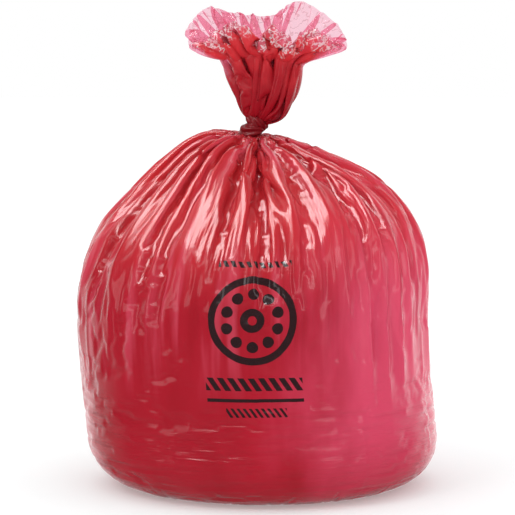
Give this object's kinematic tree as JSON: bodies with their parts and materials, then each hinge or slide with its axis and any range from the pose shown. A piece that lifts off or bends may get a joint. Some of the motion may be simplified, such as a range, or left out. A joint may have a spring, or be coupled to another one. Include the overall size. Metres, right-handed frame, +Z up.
{
  "type": "tied clinical waste bag",
  "caption": "Filled red film bag for clinic waste, knotted in its own neck, with a pleated open ruff above the knot, standing on its base.",
  "frame": {"origin": "middle of the bag's footprint box, on the plane that it stands on", "axes": "+Z up from the base through the knot, +X to the right and +Y to the back as seen from the printed front"},
  "size_m": [0.4906, 0.462, 0.6538],
  "materials": {
    "red_film": "thin glossy red film, see-through where it is one layer, crumpled",
    "soft_waste": "dull soft waste"
  },
  "bodies": {
    "root": {"film_bag": "red_film", "waste_load": "soft_waste"}
  },
  "joints": []
}
